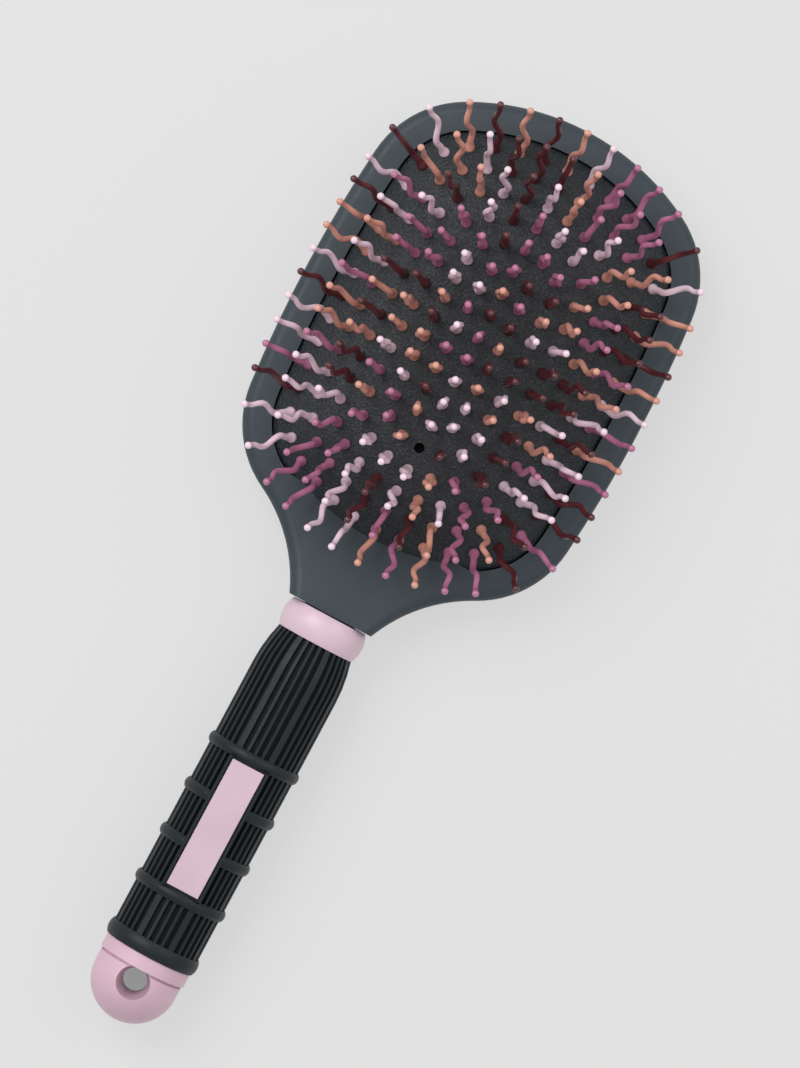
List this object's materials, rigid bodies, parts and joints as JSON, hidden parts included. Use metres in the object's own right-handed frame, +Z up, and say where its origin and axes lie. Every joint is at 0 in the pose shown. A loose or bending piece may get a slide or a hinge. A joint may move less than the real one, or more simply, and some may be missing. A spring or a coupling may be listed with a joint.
{
  "type": "detangling hair brush",
  "caption": "Oval paddle hair brush with wavy ball-tipped pins on a domed rubber air cushion, a ribbed rubber grip with finger rings and a ball end cap with a hanging hole.",
  "frame": {"origin": "bottom centre of the bounding box, with the brush lying on its back and its pins up", "axes": "+Z up out of the pin side, +Y along the brush from the handle to the head, +X across the brush"},
  "size_m": [0.0934, 0.25, 0.0464],
  "materials": {
    "head_plastic": "satin moulded slate grey",
    "cushion_rubber": "fine stippled grain, dark charcoal",
    "pink_trim": "satin pale pink",
    "grip_rubber": "matt soft-touch grey",
    "pink_label": "satin pale pink",
    "pink_cap": "satin pink",
    "pin_blush": "semi-gloss flexible nylon",
    "pin_rose": "semi-gloss flexible nylon",
    "pin_coral": "semi-gloss flexible nylon",
    "pin_wine": "semi-gloss flexible nylon"
  },
  "bodies": {
    "brush": {"head_frame": "head_plastic", "cushion_pad": "cushion_rubber", "collar_ring": "pink_trim", "grip_sleeve": "grip_rubber", "label_plate": "pink_label", "end_cap": "pink_cap"},
    "crown_pins": {"ring6_pins_blush": "pin_blush", "ring6_pins_rose": "pin_rose", "ring6_pins_coral": "pin_coral", "ring6_pins_wine": "pin_wine", "centre_row_pins_blush": "pin_blush", "centre_row_pins_rose": "pin_rose", "centre_row_pins_coral": "pin_coral", "centre_row_pins_wine": "pin_wine"},
    "ring5_pins": {"ring5_pins_blush": "pin_blush", "ring5_pins_rose": "pin_rose", "ring5_pins_coral": "pin_coral", "ring5_pins_wine": "pin_wine"},
    "ring4_pins": {"ring4_pins_blush": "pin_blush", "ring4_pins_rose": "pin_rose", "ring4_pins_coral": "pin_coral", "ring4_pins_wine": "pin_wine"},
    "ring3_pins": {"ring3_pins_blush": "pin_blush", "ring3_pins_rose": "pin_rose", "ring3_pins_coral": "pin_coral", "ring3_pins_wine": "pin_wine"},
    "ring2_pins": {"ring2_pins_blush": "pin_blush", "ring2_pins_rose": "pin_rose", "ring2_pins_coral": "pin_coral", "ring2_pins_wine": "pin_wine"},
    "ring1_pins": {"ring1_pins_blush": "pin_blush", "ring1_pins_rose": "pin_rose", "ring1_pins_coral": "pin_coral", "ring1_pins_wine": "pin_wine"}
  },
  "joints": [
    {"name": "cushion_press", "type": "slide", "parent": "brush", "child": "crown_pins", "axis": [0, 0, -1], "range_m": [0, 0.004], "stiffness_N_per_m": 800, "deforming": ["cushion_pad"]},
    {"name": "ring5_sink", "type": "slide", "parent": "brush", "child": "ring5_pins", "axis": [0, 0, -1], "range_m": [0, 0.00403], "stiffness_N_per_m": 800},
    {"name": "ring4_sink", "type": "slide", "parent": "brush", "child": "ring4_pins", "axis": [0, 0, -1], "range_m": [0, 0.00381], "stiffness_N_per_m": 800},
    {"name": "ring3_sink", "type": "slide", "parent": "brush", "child": "ring3_pins", "axis": [0, 0, -1], "range_m": [0, 0.00332], "stiffness_N_per_m": 800},
    {"name": "ring2_sink", "type": "slide", "parent": "brush", "child": "ring2_pins", "axis": [0, 0, -1], "range_m": [0, 0.00252], "stiffness_N_per_m": 800},
    {"name": "ring1_sink", "type": "slide", "parent": "brush", "child": "ring1_pins", "axis": [0, 0, -1], "range_m": [0, 0.00134], "stiffness_N_per_m": 800}
  ],
  "couplings": [
    {"joint": "ring5_sink", "follows": "cushion_press", "ratio": 0.983},
    {"joint": "ring4_sink", "follows": "cushion_press", "ratio": 0.927},
    {"joint": "ring3_sink", "follows": "cushion_press", "ratio": 0.806},
    {"joint": "ring2_sink", "follows": "cushion_press", "ratio": 0.604},
    {"joint": "ring1_sink", "follows": "cushion_press", "ratio": 0.309}
  ]
}
